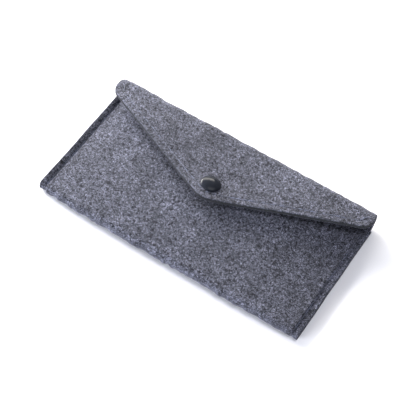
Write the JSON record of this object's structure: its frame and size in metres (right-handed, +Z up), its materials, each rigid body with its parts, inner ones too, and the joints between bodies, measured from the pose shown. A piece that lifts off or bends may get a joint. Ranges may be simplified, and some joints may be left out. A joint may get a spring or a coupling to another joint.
{
  "type": "eyeglasses case",
  "caption": "Soft felt glasses case: a folded pouch sewn at both sides, with a pointed flap that folds over the mouth and closes with a snap fastener.",
  "frame": {"origin": "under the middle of the case's outline, on the surface that its back panel rests on", "axes": "+X along the long side, +Y from the bottom fold to the top fold, +Z up out of the back panel"},
  "size_m": [0.1828, 0.094, 0.0206],
  "materials": {
    "felt": "pressed wool felt, blue-grey melange",
    "thread": "polyester sewing thread, light blue-grey",
    "cap_enamel": "glossy black enamel",
    "snap_metal": "bright nickel plate",
    "spring_metal": "spring bronze"
  },
  "bodies": {
    "pouch": {"back_panel": "felt", "bottom_fold": "felt", "front_panel": "felt", "flap_fold": "felt", "left_seam_needle_thread": "thread", "left_seam_bobbin_thread": "thread", "right_seam_needle_thread": "thread", "right_seam_bobbin_thread": "thread", "snap_stud": "snap_metal", "stud_post": "snap_metal"},
    "flap": {"flap": "felt", "flap_needle_thread": "thread", "flap_bobbin_thread": "thread", "snap_cap": "cap_enamel", "cap_post": "snap_metal", "snap_socket": "snap_metal", "socket_spring": "spring_metal"}
  },
  "joints": [
    {"name": "flap_hinge", "type": "hinge", "parent": "pouch", "child": "flap", "pos_m": [0, 0.0395, 0.0075], "axis": [-1, 0, 0], "range_deg": [0, 170], "deforming": ["flap_fold"]}
  ]
}
